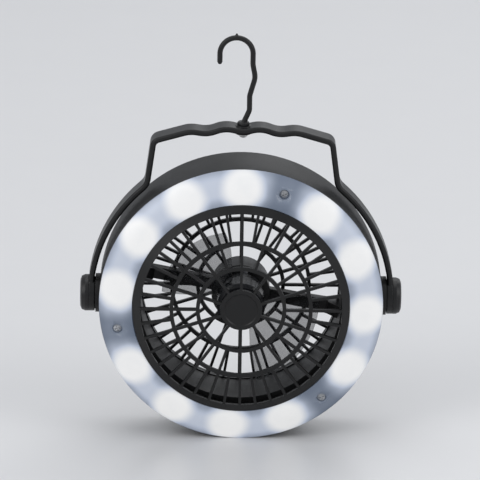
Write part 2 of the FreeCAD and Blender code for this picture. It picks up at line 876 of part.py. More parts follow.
def control_board():
    """A curved strip of circuit board behind the two switches."""
    inner = duct_outer + board_edge_gap
    outer = drum_bore - cover_lip_wall - board_edge_gap
    middle = column_angles[0]
    start = math.radians(middle - board_half_angle)
    end = math.radians(middle + board_half_angle)

    def at(radius, angle):
        return vec(radius * math.cos(angle), board_front, radius * math.sin(angle))

    half_way = (start + end) / 2
    edges = [
        Part.Arc(at(outer, start), at(outer, half_way), at(outer, end)).toShape(),
        Part.makeLine(at(outer, end), at(inner, end)),
        Part.Arc(at(inner, end), at(inner, half_way), at(inner, start)).toShape(),
        Part.makeLine(at(inner, start), at(outer, start))]
    strip = Part.Face(Part.Wire(edges)).extrude(vec(0, board_thickness, 0))
    low, high = board_front - overrun, board_back + overrun
    clear = rod_y(column_radius + side_gap, low, high, column_radius_on_drum)
    return strip.cut(turn(clear, middle))


def slide_switch():
    """The metal can of one slide switch, at angle zero."""
    half_x = switch_can_width / 2
    half_z = switch_can_length / 2
    x = switch_radius_on_drum
    return block(x - half_x, x + half_x, board_back, board_back + switch_can_height, -half_z, half_z)


def switch_knob(place):
    """One sliding knob at angle zero; place is how far it stands from the middle of its track."""
    x = switch_radius_on_drum
    half_z = knob_length / 2
    half_x = knob_width / 2
    base = track_floor + knob_rise
    top = base + knob_height
    cap = block(x - half_x, x + half_x, base, top, -half_z, half_z)
    cap = cap.makeChamfer(knob_bevel, cap.getElement("Face4").Edges)
    pieces = [cap]
    rib = half_x - knob_rib_margin
    for step in (-1, 0, 1):
        pieces.append(rod_x(knob_rib_height, x - rib, x + rib, top, step * knob_rib_pitch))
    foot_end = board_back + switch_can_height + side_gap
    pieces.append(block(x - stem_width / 2, x + stem_width / 2, foot_end, base + knob_bevel,
                        -stem_length / 2, stem_length / 2))
    flange_x = stem_width / 2 + stem_flange
    pieces.append(block(x - flange_x, x + flange_x, foot_end + head_gap, cover_front - side_gap,
                        -stem_length / 2, stem_length / 2))
    knob = fuse_all(pieces)
    knob.translate(vec(0, 0, place))
    return knob


# Handle and its pivots

def at_pivot(x, z):
    """A point of the handle's flat outline, in the plane of the pivots."""
    return vec(x, pivot_depth, z)


def grip_corner(step):
    """A crest or trough of the grip, before it is rounded; step 0 is the middle trough."""
    x = grip_wave_pitch / 2 * step
    wave = -grip_wave if step % 2 == 0 else grip_wave
    return at_pivot(x, grip_height - grip_sag * x * x + wave)


def rounded_run(points, radii):
    """Straight runs through the points, with each inner corner rounded."""
    edges = []
    start = points[0]
    for before, corner, after, radius in zip(points, points[1:], points[2:], radii):
        arrive = (corner - before).normalize()
        leave = (after - corner).normalize()
        half_turn = arrive.getAngle(leave) / 2
        back = radius * math.tan(half_turn)
        first = corner - arrive * back
        last = corner + leave * back
        inward = (leave - arrive).normalize()
        centre = corner + inward * (radius / math.cos(half_turn))
        middle = centre - inward * radius
        edges.append(Part.makeLine(start, first))
        edges.append(Part.Arc(first, middle, last).toShape())
        start = last
    edges.append(Part.makeLine(start, points[-1]))
    return edges


def arm_corners():
    """The right arm's corners from the eye, round the drum and up to the grip, with their roundings."""
    start = math.radians(arm_arc_start)
    end = math.radians(arm_arc_end)
    half_turn = (end - start) / 2
    far = arm_radius / math.cos(half_turn)
    foot = at_pivot(eye_middle, (arm_radius - eye_middle * math.cos(start)) / math.sin(start))
    arc_corner = at_pivot(far * math.cos(start + half_turn), far * math.sin(start + half_turn))
    arc_end = at_pivot(arm_radius * math.cos(end), arm_radius * math.sin(end))
    kink = arc_end + vec(-math.sin(end), 0, math.cos(end)) * arm_kink_length
    corner = at_pivot(grip_corner_x, grip_height - grip_corner_drop)
    corners = [foot, arc_corner, kink, corner]
    return corners, [arm_foot_round, arm_radius, arm_kink_round, arm_corner_round]


def mirrored(point):
    return vec(-point.x, point.y, point.z)


def handle_line():
    """The whole middle line of the handle, from the right eye over the grip to the left eye."""
    arm, arm_rounds = arm_corners()
    waves = [grip_corner(step) for step in range(3, -4, -1)]
    eye = at_pivot(eye_middle, 0)
    points = [eye] + arm + waves + [mirrored(point) for point in reversed(arm)] + [mirrored(eye)]
    rounds = arm_rounds + [grip_wave_round] * len(waves) + list(reversed(arm_rounds))
    return Part.Wire(rounded_run(points, rounds))


def strap_section():
    """The strap's cross-section at the right eye, with bevelled edges."""
    flat = handle_thickness / 2
    deep = handle_width / 2
    bevel = handle_edge_bevel
    corners = []
    for side_x, side_y in ((1, 1), (-1, 1), (-1, -1), (1, -1)):
        beside = vec(eye_middle + side_x * (flat - bevel), pivot_depth + side_y * deep, 0)
        above = vec(eye_middle + side_x * flat, pivot_depth + side_y * (deep - bevel), 0)
        corners += [above, beside] if side_x * side_y > 0 else [beside, above]
    return Part.makePolygon(corners + corners[:1])


def handle():
    sweep = Part.BRepOffsetAPI.MakePipeShell(handle_line())
    sweep.setBiNormalMode(vec(0, 1, 0))
    sweep.add(strap_section())
    sweep.build()
    sweep.makeSolid()
    strap = sweep.shape()
    eye = rod_x(eye_radius, eye_inner, eye_outer, pivot_depth)
    boss = Part.makeCylinder(grip_boss_radius, grip_top - grip_bottom, at_pivot(0, grip_bottom))
    body = fuse_all([strap, eye, mirror_x(eye), boss])
    bore = rod_x(pivot_shaft_radius + running_fit, eye_inner - overrun, eye_outer + overrun, pivot_depth)
    depth = grip_top - grip_bottom + 2 * overrun
    pin_hole = Part.makeCylinder(hook_pin_radius + running_fit, depth, at_pivot(0, grip_bottom - overrun))
    return body.cut(Part.makeCompound([bore, mirror_x(bore), pin_hole]))


def pivot_cap():
    """The right cap: a head with an eased rim on the shaft that the handle's eye turns on."""
    top = cap_inner + cap_height
    rim = eased_edge((eye_radius - cap_round, top - cap_round), cap_round, 0, 90)
    outline = [(0, boss_face), (pivot_shaft_radius, boss_face), (pivot_shaft_radius, cap_inner),
               (eye_radius, cap_inner)] + rim + [(0, top)]
    cap = ring_spin(outline)
    cap.rotate(vec(0, 0, 0), vec(0, 0, 1), -90)
    cap.translate(vec(0, pivot_depth, 0))
    end = cap_inner + 2 * screw_end_gap
    return cap.cut(rod_x(pivot_screw_radius + running_fit, boss_face - overrun, end, pivot_depth))


def pivot_screw():
    """The right pivot screw, driven into the cap from inside the drum."""
    seat = drum_bore - pivot_pad_height
    head = rod_x(pivot_screw_head, seat - pivot_screw_head_height, seat, pivot_depth)
    shank = rod_x(pivot_screw_radius, seat, cap_inner + screw_end_gap, pivot_depth)
    return fuse_all([head, shank])


def friction_washer():
    ring = rod_x(washer_radius, boss_face, boss_face + washer_thickness, pivot_depth)
    return ring.cut(rod_x(pivot_shaft_radius + running_fit, boss_face - overrun, eye_inner, pivot_depth))


def pair(shape):
    return Part.makeCompound([shape, mirror_x(shape)])


# Hook

def hook_point(x, height):
    return at_pivot(x, grip_top + flat_gap + height)


def hook_line():
    """The hook's middle line: a gently waved shank, the curl and a short straight tip."""
    curl_x = hook_curl_x + hook_curl_radius
    top = hook_curl_height + hook_curl_radius
    shank = [(0, 1.0), (3.1, 8.0), (3.1, 16.0), (hook_bulge_x, hook_bulge_height), (curl_x, 33.0)]
    rounds = [5.0, 7.0, 9.0, 12.0, hook_curl_radius * 0.999, hook_curl_radius * 0.999]
    curl = [(curl_x, top), (curl_x - 2 * hook_curl_radius, top)]
    tip = (curl_x - 2 * hook_curl_radius, hook_curl_height - hook_tip_drop)
    points = [hook_point(x, height) for x, height in shank + curl + [tip]]
    return rounded_run(points, rounds), points


def rod_along(edges, radius):
    """A round rod along straight runs and arcs: a bar for each run and a turned bend for each arc."""
    pieces = []
    for edge in edges:
        start = edge.valueAt(edge.FirstParameter)
        heading = edge.tangentAt(edge.FirstParameter)
        if isinstance(edge.Curve, Part.Line):
            pieces.append(Part.makeCylinder(radius, edge.Length, start, heading))
        else:
            disc = Part.Face(Part.Wire(Part.makeCircle(radius, start, heading)))
            axis = (start - edge.Curve.Center).cross(heading)
            turned = math.degrees(edge.Length / edge.Curve.Radius)
            pieces.append(disc.revolve(edge.Curve.Center, axis, turned))
    return pieces


def hook():
    edges, points = hook_line()
    base = hook_point(0, 0)
    collar = Part.makeCylinder(hook_collar_radius, hook_collar_height, base)
    rim = [edge for edge in collar.Edges if edge.BoundBox.ZMin > base.z + hook_collar_bevel]
    collar = collar.makeChamfer(hook_collar_bevel, rim)
    tip = Part.makeCone(hook_rod_radius, hook_tip_radius, hook_tip_length, points[-1], vec(0, 0, -1))
    crown = hook_point(hook_curl_x, hook_curl_height + hook_curl_radius + hook_rod_radius - hook_nib_root)
    nib = Part.makeCone(hook_nib_radius, hook_nib_tip, hook_nib_height + hook_nib_root, crown)
    body = fuse_all(rod_along(edges, hook_rod_radius) + [collar, tip, nib])
    socket = hook_pin_reach + head_gap + overrun
    return body.cut(Part.makeCylinder(hook_pin_radius + running_fit / 2, socket, hook_point(0, -overrun)))


def hook_washer():
    low = grip_bottom - flat_gap - hook_washer_thickness
    ring = Part.makeCylinder(hook_washer_radius, hook_washer_thickness, at_pivot(0, low))
    bore = hook_washer_thickness + 2 * overrun
    return ring.cut(Part.makeCylinder(hook_pin_radius + running_fit, bore, at_pivot(0, low - overrun)))


def hook_pin():
    """The steel pin that the hook turns on, with its round head under the grip."""
    seat = grip_bottom - 2 * flat_gap - hook_washer_thickness
    top = hook_point(0, hook_pin_reach).z
    shank = Part.makeCylinder(hook_pin_radius, top - seat, at_pivot(0, seat))
    foot = at_pivot(0, seat - hook_pin_head_height)
    head = Part.makeCylinder(hook_pin_head_radius, hook_pin_head_height, foot)
    rim = [edge for edge in head.Edges if edge.BoundBox.ZMax < seat - hook_pin_head_bevel]
    return fuse_all([shank, head.makeChamfer(hook_pin_head_bevel, rim)])


def save_parts():
    save("drum_housing", drum_housing())
    save("rear_cover", rear_cover())
    save("cover_screws", cover_screws())
    save("lens_ring", lens_ring())
    save("lens_screws", lens_screws())
    save("led_board", led_board())
    save("reflector_sheet", reflector_sheet())
    save("leds", leds())
    save("front_grille", front_grille())
    save("rear_grille", rear_grille())
    save("motor_bracket", motor_bracket())
    save("bracket_screws", bracket_screws())
    save("motor_can", motor_can())
    save("motor_clamp", motor_clamp())
    save("motor_screws", motor_screws())
    save("motor_shaft", motor_shaft())
    save("fan_rotor", fan_rotor())
    for number, angle in enumerate(cell_angles, 1):
        save("battery_%d" % number, turn(battery(), angle))
        save("battery_door_%d" % number, turn(battery_door(), angle))
    save("battery_contacts", battery_contacts())
    save("control_board", control_board())
    save("light_switch", turn(slide_switch(), light_switch_angle))
    save("fan_switch", turn(slide_switch(), fan_switch_angle))
    save("light_knob", turn(switch_knob(knob_travel / 2), light_switch_angle))
    save("fan_knob", turn(switch_knob(-knob_travel / 2), fan_switch_angle))
    save("handle", handle())
    save("pivot_cap_right", pivot_cap())
    save("pivot_cap_left", mirror_x(pivot_cap()))
    save("pivot_screws", pair(pivot_screw()))
    save("friction_washers", pair(friction_washer()))
    save("hook", hook())
    save("hook_washer", hook_washer())
    save("hook_pin", hook_pin())


save_parts()
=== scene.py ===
# %% [markdown]
# # A camping fan with a ring of light
# This file dresses a portable camping fan: a flat black drum that stands on edge, a milky ring of light
# round its front, a caged two-blade fan in the middle, a swinging handle and a swivelling hook. The
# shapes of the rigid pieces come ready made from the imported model, so this file is mostly about finishes,
# light and the small things that a solid model leaves plain, such as the crosses in the screw heads.

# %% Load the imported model
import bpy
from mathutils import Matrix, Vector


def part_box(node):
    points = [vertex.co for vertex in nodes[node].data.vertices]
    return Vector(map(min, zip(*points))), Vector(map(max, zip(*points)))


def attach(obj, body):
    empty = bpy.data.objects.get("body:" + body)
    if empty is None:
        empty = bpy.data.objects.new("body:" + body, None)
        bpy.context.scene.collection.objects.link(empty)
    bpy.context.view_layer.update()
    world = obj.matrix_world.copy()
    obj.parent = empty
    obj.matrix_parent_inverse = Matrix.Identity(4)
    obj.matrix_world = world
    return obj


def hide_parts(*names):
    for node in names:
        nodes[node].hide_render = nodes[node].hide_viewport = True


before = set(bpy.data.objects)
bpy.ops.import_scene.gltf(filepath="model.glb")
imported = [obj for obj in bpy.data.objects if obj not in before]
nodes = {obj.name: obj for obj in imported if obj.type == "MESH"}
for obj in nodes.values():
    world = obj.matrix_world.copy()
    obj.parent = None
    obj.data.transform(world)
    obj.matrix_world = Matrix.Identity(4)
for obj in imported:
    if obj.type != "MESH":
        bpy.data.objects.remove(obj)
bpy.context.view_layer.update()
import math
import bpy
import bmesh
from mathutils import Matrix, Vector


def rounded(corners):
    """Corners to a tenth of a millimetre, for printing."""
    return [[round(value, 4) for value in corner] for corner in corners]


# %% [markdown]
# ## Where things are
# The drum's axis runs from front to back along Y, and nearly everything sits round it, so its place is
# read from the rear cover, a round plate, instead of being typed in. The lamps stand on a circle in three
# groups of four. A screw of the lens sits between every two groups, on the same circle, and a cell lies
# behind each group. Angles are in degrees, seen from the front, from the right-hand side upwards.

# %% The drum's axis and the circle of lamps
cover_low, cover_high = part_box("rear_cover")
axis_x = (cover_low.x + cover_high.x) / 2
axis_z = (cover_low.z + cover_high.z) / 2
lamp_circle = 0.0662
lamp_pitch = 27.2
group_angles = (10.9, 130.9, 250.9)
screw_circle = lamp_circle
first_screw_angle = group_angles[0] + 60.0
print("axis", round(axis_x, 5), round(axis_z, 5), "groups at", group_angles, "screw at", first_screw_angle)

# %% [markdown]
# ## The camera
# The ring of light is a circle, and the photograph shows it as an ellipse a little lower than it is wide.
# Their ratio gives how far above the fan the camera was. The front guard lies lower in the picture than
# the rear one, which confirms the angle. A long lens from over two metres keeps the two sides of the drum
# nearly parallel.

# %% Set the camera
camera_azimuth = math.radians(-0.79)
camera_elevation = math.radians(18.46)
camera_roll = math.radians(0.89)
camera_distance = 2.2
camera_target = Vector((-0.00087, 0.0, 0.10677))
camera_lens_mm = 312.3
camera_sensor_mm = 36.0
camera_sees_to = 20.0

level = math.cos(camera_elevation)
towards_camera = Vector((math.sin(camera_azimuth) * level, -math.cos(camera_azimuth) * level,
                         math.sin(camera_elevation)))
sight = bpy.data.cameras.new("camera")
sight.lens = camera_lens_mm
sight.sensor_width = camera_sensor_mm
sight.clip_end = camera_sees_to
camera = bpy.data.objects.new("camera", sight)
bpy.context.scene.collection.objects.link(camera)
upright = towards_camera.to_track_quat("Z", "Y").to_matrix().to_4x4()
camera.matrix_world = (Matrix.Translation(camera_target + towards_camera * camera_distance) @ upright
                       @ Matrix.Rotation(camera_roll, 4, "Z"))
bpy.context.scene.camera = camera
print("camera at", [round(v, 3) for v in camera.matrix_world.translation])

# %% [markdown]
# ## Writing finishes as sums
# A finish is a network of small nodes: noise for the grain, a ramp for wear, and so on. Wiring them by
# hand is long and hard to read. The classes here let a finish be written as arithmetic. A Wire is one
# value on its way through the network, and adding or multiplying wires adds the Math node that does it.

# %% Wires
class Wire:
    """One value on its way through a finish."""

    def __init__(self, finish, socket):
        self.finish = finish
        self.socket = socket

    def maths(self, operation, *values):
        sockets = dict(enumerate((self,) + values))
        return self.finish.add("ShaderNodeMath", {"operation": operation}, sockets)[0]

    def __add__(self, other):
        return self.maths("ADD", other)

    def __mul__(self, other):
        return self.maths("MULTIPLY", other)

    def __sub__(self, other):
        return self.maths("SUBTRACT", other)

    def __rsub__(self, other):
        return self * -1.0 + other

    def limit(self, low, high):
        return self.maths("MAXIMUM", low).maths("MINIMUM", high)

    def step(self, low, high):
        """0 below low, 1 above high and a smooth rise between."""
        sockets = {0: self, 1: low, 2: high}
        return self.finish.add("ShaderNodeMapRange", {"interpolation_type": "SMOOTHSTEP"}, sockets)[0]


class Outputs:
    """The outputs of one node, by name or number."""

    def __init__(self, finish, node):
        self.finish = finish
        self.node = node

    def __getitem__(self, key):
        return Wire(self.finish, self.node.outputs[key])

# %% Finishes
class Finish:
    """One material and the nodes in it."""

    def __init__(self, name):
        self.material = bpy.data.materials.new(name)
        self.material.use_nodes = True
        self.tree = self.material.node_tree
        self.tree.nodes.clear()
        self.place = self.add("ShaderNodeTexCoord", {}, {})["Object"]

    def add(self, kind, settings, sockets):
        """Adds one node: its settings first, then the values or wires of its sockets."""
        node = self.tree.nodes.new(kind)
        for name, value in settings.items():
            if name == "stops":
                self.set_stops(node.color_ramp, value)
            else:
                setattr(node, name, value)
        for key, value in sockets.items():
            if isinstance(value, Wire):
                self.tree.links.new(value.socket, node.inputs[key])
            else:
                node.inputs[key].default_value = value
        return Outputs(self, node)

    def set_stops(self, ramp, stops):
        while len(ramp.elements) < len(stops):
            ramp.elements.new(1.0)
        for element, (position, colour) in zip(ramp.elements, stops):
            element.position = position
            element.color = colour

    def ramp(self, stops, value):
        """Picks a colour between the stops."""
        return self.add("ShaderNodeValToRGB", {"stops": stops}, {0: value})["Color"]

    def noise(self, scale, detail=3.0, roughness=0.55, place=None):
        sockets = {"Vector": place or self.place, "Scale": scale, "Detail": detail, "Roughness": roughness}
        return self.add("ShaderNodeTexNoise", {}, sockets)["Fac"]

    def vectors(self, operation, first, second):
        """Arithmetic on two vectors; its outputs are Vector and Value."""
        return self.add("ShaderNodeVectorMath", {"operation": operation}, {0: first, 1: second})

    def from_axis(self):
        """How far a point is to the right of, above and away from the drum's axis."""
        apart = self.add("ShaderNodeSeparateXYZ", {}, {0: self.place})
        across = apart["X"] - axis_x
        up = apart["Z"] - axis_z
        return across, up, (across * across + up * up).maths("SQRT")

    def blend(self, factor, first, second):
        """Goes from one colour to another as factor goes from 0 to 1."""
        sockets = {"Factor": factor, 6: first, 7: second}
        return self.add("ShaderNodeMix", {"data_type": "RGBA"}, sockets)[2]

    def bump(self, height, depth, normal=None):
        """Raises the surface by height times depth, in metres."""
        sockets = {"Height": height, "Distance": depth, "Strength": 1.0}
        if normal:
            sockets["Normal"] = normal
        return self.add("ShaderNodeBump", {}, sockets)["Normal"]

    def edges(self, width):
        """How near a point is to an edge, from 0 to about 1, and the normal with edges eased by width."""
        eased = self.add("ShaderNodeBevel", {"samples": 4}, {"Radius": width})["Normal"]
        plain = self.add("ShaderNodeNewGeometry", {}, {})["Normal"]
        same = self.vectors("DOT_PRODUCT", eased, plain)["Value"]
        return (1.0 - same).step(0.01, 0.3), eased

    def surface(self, sockets):
        """Closes the finish with its one shader."""
        shader = self.add("ShaderNodeBsdfPrincipled", {}, sockets)["BSDF"]
        self.add("ShaderNodeOutputMaterial", {}, {"Surface": shader})
        return self.material


def dress(material, *names):
    """Gives a finish to carried-over pieces."""
    for name in names:
        piece = nodes[name]
        piece.data.materials.clear()
        piece.data.materials.append(material)
    print(material.name, "on", ", ".join(names))

# %% [markdown]
# ## Black moulded plastic
# Nearly all of this fan is black ABS or nylon. What tells its pieces apart is their grain: the drum and
# cover come from a spark-eroded mould with a fine matt grain, and the guards, handle and hook from a
# smoother one. One function makes them all from a tone, a grain and a gloss. Edges are a little lighter
# and smoother, where hands and tables have polished them, and broad soft noise stands for dust and skin
# grease.

# %% A function for black plastic
dust_scale, scuff_scale = 38.0, 420.0
dust_lift, worn_lift = (1.9, 1.85, 1.8), (4.5, 4.5, 4.6)
dust_share, worn_share, scuff_share = 0.6, 0.55, 0.08


def lifted(tone, lift):
    """A colour that is lighter than a tone by one factor for each channel."""
    return tuple(tone * factor for factor in lift) + (1.0,)


def black_plastic(name, tone, grain_scale, grain_depth, roughness, edge_width=0.0005):
    finish = Finish(name)
    near_edge, eased = finish.edges(edge_width)
    grain = finish.noise(grain_scale, 2.0)
    dust = finish.noise(dust_scale, 4.0)
    scuffs = finish.noise(scuff_scale, 5.0, 0.7).step(0.60, 0.74)
    worn = (near_edge * (dust.step(0.35, 0.65) * 0.6 + 0.25)).limit(0.0, 1.0)
    colour = finish.blend(dust.step(0.42, 0.75) * dust_share, lifted(tone, (1.0, 1.0, 1.05)),
                          lifted(tone, dust_lift))
    colour = finish.blend(worn * worn_share + scuffs * scuff_share, colour, lifted(tone, worn_lift))
    shine = (grain - 0.5) * 0.12 + (dust - 0.5) * 0.22 + roughness - worn * 0.14 + scuffs * 0.05
    normal = finish.bump(grain + scuffs * 0.12, grain_depth, eased)
    return finish.surface({"Base Color": colour, "Roughness": shine.limit(0.08, 0.95), "Normal": normal,
                           "Specular IOR Level": 0.32})

# %% Black finishes
housing_black = black_plastic("housing_black", 0.0085, 3200.0, 0.00005, 0.48)
cover_black = black_plastic("cover_black", 0.0125, 2600.0, 0.00007, 0.50, 0.0006)
guard_black = black_plastic("guard_black", 0.0075, 1500.0, 0.000025, 0.38, 0.0003)
handle_black = black_plastic("handle_black", 0.008, 1900.0, 0.00003, 0.36, 0.0007)
cap_black = black_plastic("cap_black", 0.010, 2200.0, 0.00003, 0.40)
knob_black = black_plastic("knob_black", 0.030, 2600.0, 0.00003, 0.44, 0.0003)
dress(housing_black, "drum_housing")
dress(cover_black, "rear_cover", "battery_door_1", "battery_door_2", "battery_door_3")
dress(guard_black, "front_grille", "rear_grille", "motor_bracket", "motor_clamp")
dress(handle_black, "handle", "hook")
dress(cap_black, "pivot_cap_left", "pivot_cap_right")
dress(knob_black, "light_knob", "fan_knob")

# %% [markdown]
# ## The light in the milky lens
# The ring is a frosted polycarbonate cover over twelve lamps. Each lamp burns a white spot about 17 mm
# across into it. Between the lamps of one group of four the plastic stays half lit, by light that the
# white sheet throws back, and towards the three screws, where no lamp is, it fades to a dark blue-grey.
# So the glow has two parts: a soft round pool for every lamp, and a haze along each group. They are laid
# over each other like two films of light, 1 - (1 - a) * (1 - b), which never goes above 1. Angles are
# folded into half of one third of a turn, so that four pools serve all twelve lamps.

# %% Fold the ring
lens = Finish("milky_lens")
across, up, radius = lens.from_axis()
third = math.radians(360.0 / len(group_angles))
turn = up.maths("ARCTAN2", across) - math.radians(group_angles[0])
folded = (turn + third / 2.0 + 2.0 * math.pi).maths("MODULO", third) - third / 2.0
folded = folded.maths("ABSOLUTE")
outward = radius - lamp_circle
print("folded into", round(math.degrees(third / 2.0), 1), "degrees")

# %% A pool of light for each lamp
spot_edge = 0.0066
spot_reach = 0.0142


def pool(lamp_angle):
    """The light of one lamp: full within its spot and nothing beyond its reach."""
    along = (folded - lamp_angle) * radius
    away = (along * along + outward * outward).maths("SQRT")
    return 1.0 - away.step(spot_edge, spot_reach)


inner_lamp = math.radians(lamp_pitch) / 2.0
outer_lamp = inner_lamp * 3.0
pools = pool(inner_lamp) + pool(outer_lamp) + pool(-inner_lamp) + pool(third - outer_lamp)
print("lamps at", [round(math.degrees(lamp), 1) for lamp in (inner_lamp, outer_lamp)], "degrees")

# %% A haze along each group
haze_strength = 0.55
haze_start, haze_end = math.radians(47.0), math.radians(57.0)
haze_drop = 0.84
brightest_line = 0.0008
shade_start, shade_end = 0.0030, 0.0095
shade_drop = 0.6

screw_shade = folded.step(haze_start, haze_end) * haze_drop
rim_shade = (outward - brightest_line).maths("ABSOLUTE").step(shade_start, shade_end) * shade_drop
haze = (1.0 - screw_shade) * (1.0 - rim_shade)
light = 1.0 - (1.0 - pools.limit(0.0, 1.0)) * (1.0 - haze * haze_strength)
print("haze fades by", haze_drop, "at the screws and by", shade_drop, "at the rims")

# %% [markdown]
# ## The finish of the lens
# The amount of light picks two colours, one for the plastic itself and one for its glow. A faint clouding
# and a fine frost keep the plastic from looking like glass.

# %% The lens finish
body_tones = [(0.0, (0.105, 0.128, 0.170, 1.0)), (0.5, (0.225, 0.240, 0.275, 1.0)),
              (1.0, (0.33, 0.33, 0.34, 1.0))]
glow_tones = [(0.0, (0.0, 0.006, 0.018, 1.0)), (0.5, (0.27, 0.305, 0.375, 1.0)),
              (1.0, (0.545, 0.545, 0.535, 1.0))]
cloud_tone = (0.17, 0.195, 0.24, 1.0)
lens_roughness = 0.26
frost_depth = 0.000012

clouding = lens.noise(90.0, 3.0)
frost = lens.noise(2600.0, 2.0)
lens_edge, lens_eased = lens.edges(0.0006)
milky_lens = lens.surface({
    "Base Color": lens.blend(clouding.step(0.35, 0.75) * 0.2, lens.ramp(body_tones, light), cloud_tone),
    "Roughness": (frost - 0.5) * 0.10 + clouding * 0.12 + lens_roughness - lens_edge * 0.05,
    "Normal": lens.bump(frost, frost_depth, lens_eased),
    "Emission Color": lens.ramp(glow_tones, light), "Emission Strength": 1.0,
    "Coat Weight": (clouding * 0.3).limit(0.0, 1.0), "Coat Roughness": 0.25})
print("glow stops", len(glow_tones))

# %% [markdown]
# ## A smooth lens
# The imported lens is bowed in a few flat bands. A polished mould has none, so a merged copy of the lens is
# shaded smoothly across them and stands in its place. Edges that turn by more than 30 degrees stay sharp.

# %% Hand a mesh to the fan's body
def add_piece(name, mesh, slot, *replaced):
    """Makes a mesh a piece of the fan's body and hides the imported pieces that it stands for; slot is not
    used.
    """
    mesh.name = name
    piece = bpy.data.objects.new(name, mesh)
    bpy.context.scene.collection.objects.link(piece)
    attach(piece, "fan_body")
    if replaced:
        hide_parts(*replaced)
    print(name, "vertices", len(mesh.vertices), "faces", len(mesh.polygons))
    return piece

# %% Smooth the lens
widest_turn = math.radians(30.0)
same_point = 0.000001

smooth = nodes["lens_ring"].data.copy()
merged = bmesh.new()
merged.from_mesh(smooth)
bmesh.ops.remove_doubles(merged, verts=merged.verts, dist=same_point)
merged.to_mesh(smooth)
merged.free()
smooth.materials.clear()
smooth.materials.append(milky_lens)
smooth.shade_smooth()
smooth.set_sharp_from_angle(angle=widest_turn)
add_piece("lens_cover", smooth, "milky_lens", "lens_ring")

# %% [markdown]
# ## Smoky blades
# The two blades are clear plastic with a little black in it. Against the light the spokes behind them
# show through at a little under half strength. A share of plain transparency does this in every view, and
# costs nothing in the exported model, where real refraction would be lost. The hub is thick, so it is not
# see-through.

# %% The rotor finish
hub_radius = 0.0129
hub_fade = 0.0006
blade_cover = 0.34

smoke = Finish("smoky_blade")
from_hub = smoke.from_axis()[2]
thick = 1.0 - from_hub.step(hub_radius, hub_radius + hub_fade)
streaks = smoke.noise(260.0, 3.0, 0.6)
rim_edge, rim_eased = smoke.edges(0.0004)
cover = (streaks * 0.08 + blade_cover + rim_edge * 0.2 + thick).limit(0.0, 1.0)
tint = smoke.blend(streaks, (0.012, 0.0125, 0.014, 1.0), (0.024, 0.025, 0.028, 1.0))
smoky_blade = smoke.surface({
    "Base Color": tint, "Roughness": streaks * 0.14 + 0.16, "Alpha": cover,
    "Normal": smoke.bump(streaks, 0.00002, rim_eased), "Specular IOR Level": 0.45})
dress(smoky_blade, "fan_rotor")

# %% [markdown]
# ## Metals
# The motor's can is drawn steel, with faint marks along it from the drawing. Screws and pins are bright
# plated steel, and the contacts and switch cans are duller tin plate. The marks are a noise that is
# stretched along one direction, and soft stains stop the metal from looking like a mirror.

# %% A function for metals
mark_scale, stain_scale = 900.0, 160.0
stain_tone = 0.62
mark_depth = 0.000012


def plated_metal(name, colour, roughness, stretch):
    finish = Finish(name)
    near_edge, eased = finish.edges(0.0002)
    marks = finish.noise(mark_scale, 3.0, 0.6, finish.vectors("MULTIPLY", finish.place, stretch)["Vector"])
    stain = finish.noise(stain_scale, 4.0)
    dull = tuple(value * stain_tone for value in colour) + (1.0,)
    shade = finish.blend(stain.step(0.3, 0.7) * 0.8 + near_edge * 0.2, dull, colour + (1.0,))
    return finish.surface({"Base Color": shade, "Metallic": 1.0,
                           "Roughness": marks * 0.16 + stain * 0.10 + roughness,
                           "Normal": finish.bump(marks, mark_depth, eased)})

# %% Metal finishes
bright_screw = plated_metal("screw_steel", (0.62, 0.63, 0.65), 0.34, (1.0, 1.0, 1.0))
drawn_can = plated_metal("motor_steel", (0.56, 0.56, 0.57), 0.22, (1.0, 0.06, 1.0))
tin_plate = plated_metal("contact_metal", (0.66, 0.65, 0.60), 0.26, (1.0, 1.0, 0.2))
pin_steel = plated_metal("pin_steel", (0.72, 0.72, 0.71), 0.18, (1.0, 1.0, 0.15))
dress(bright_screw, "lens_screws", "cover_screws", "bracket_screws", "motor_screws", "pivot_screws")
dress(drawn_can, "motor_can", "motor_shaft")
dress(tin_plate, "battery_contacts", "light_switch", "fan_switch")
dress(pin_steel, "hook_pin", "hook_washer")

# %% [markdown]
# ## Inside pieces
# These show only when a cell door is open or through a screw hole: green lacquered circuit board, the
# white sheet that throws the light forward, the lamps with their yellow phosphor, and rubber washers.
# Sheet, lamps and rubber are each two near tones mixed by one noise, so one function makes all three.

# %% A function for mottled finishes
def mottled(name, scale, detail, first, second, roughness, depth, glows=False):
    """Mixes two colours by a noise, which varies the gloss and raises the surface by depth as well."""
    finish = Finish(name)
    mottle = finish.noise(scale, detail)
    colour = finish.blend(mottle, first + (1.0,), second + (1.0,))
    sockets = {"Base Color": colour, "Roughness": mottle * 0.2 + roughness,
               "Normal": finish.bump(mottle, depth)}
    if glows:
        sockets.update({"Emission Color": colour, "Emission Strength": 1.0})
    return finish.surface(sockets)

# %% Board, sheet, lamps and washers
board = Finish("circuit_board")
weave = board.noise(1400.0, 2.0)
mask = board.noise(300.0, 2.0).step(0.52, 0.56)
lacquer = board.blend(mask * 0.5, (0.010, 0.085, 0.034, 1.0), (0.022, 0.15, 0.060, 1.0))
green_board = board.surface({"Base Color": lacquer, "Roughness": weave * 0.2 + 0.24,
                             "Normal": board.bump(weave, 0.00001)})
chalk = mottled("white_reflector", 700.0, 3.0, (0.74, 0.75, 0.76), (0.86, 0.86, 0.85), 0.5, 0.00001)
phosphor = mottled("light_emitter", 5200.0, 2.0, (0.86, 0.80, 0.38), (0.95, 0.92, 0.62), 0.35, 0.00002,
                   glows=True)
rubber = mottled("washer_rubber", 600.0, 4.0, (0.014, 0.014, 0.014), (0.034, 0.033, 0.032), 0.7, 0.00003)
dress(green_board, "led_board", "control_board")
dress(chalk, "reflector_sheet")
dress(phosphor, "leds")
dress(rubber, "friction_washers")

